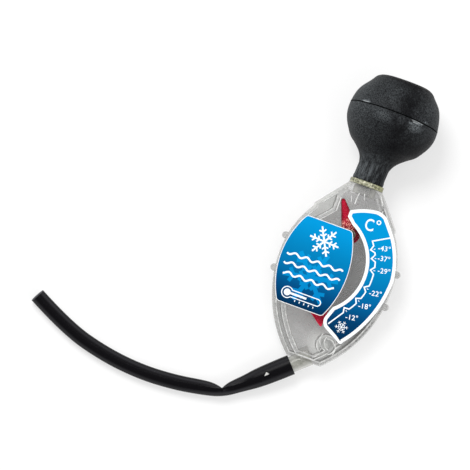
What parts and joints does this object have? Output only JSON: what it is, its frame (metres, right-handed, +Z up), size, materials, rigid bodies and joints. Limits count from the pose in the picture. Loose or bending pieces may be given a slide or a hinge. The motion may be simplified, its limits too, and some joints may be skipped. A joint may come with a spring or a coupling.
{
  "type": "antifreeze tester",
  "caption": "Flat clear-cased antifreeze tester with a swinging pointer, rubber squeeze bulb on its neck and bent rubber suction hose on its nipple.",
  "frame": {"origin": "on the surface the tester lies on, under the middle of its bounding box without the hose", "axes": "+Y along the tester towards the bulb, +X to the right of the case seen from the front, +Z up out of the front"},
  "size_m": [0.1758, 0.1926, 0.0474],
  "materials": {
    "clear_case": "clear moulded plastic, polished outside and faintly grey",
    "label_print": "white film printed blue, satin",
    "red_plastic": "crimson moulded plastic",
    "brass": "turned",
    "steel": "ground pin",
    "black_plastic": "moulded",
    "amber_seal": "pale yellowish, mottled",
    "black_rubber": "matt, dusty grey mottling",
    "hose_rubber": "smooth, glossy"
  },
  "bodies": {
    "case": {"front_shell": "clear_case", "rear_shell": "clear_case", "main_label": "label_print", "scale_label": "label_print", "pointer_pin": "steel", "level_pin": "black_plastic", "neck_spigot": "clear_case", "neck_ring": "amber_seal", "squeeze_bulb": "black_rubber", "inlet_nipple": "clear_case", "hose": "hose_rubber"},
    "pointer": {"pointer": "red_plastic", "pointer_weight": "brass"},
    "level": {"level_pointer": "red_plastic"}
  },
  "joints": [
    {"name": "pointer_swing", "type": "hinge", "parent": "case", "child": "pointer", "pos_m": [-0.0122, -0.01765, 0.01386], "axis": [0, -0.1166, 0.9932], "range_deg": [-25, 96]},
    {"name": "level_swing", "type": "hinge", "parent": "case", "child": "level", "pos_m": [0.0009, 0.00027, 0.01818], "axis": [0, -0.1166, 0.9932], "range_deg": [-60, 2]}
  ]
}
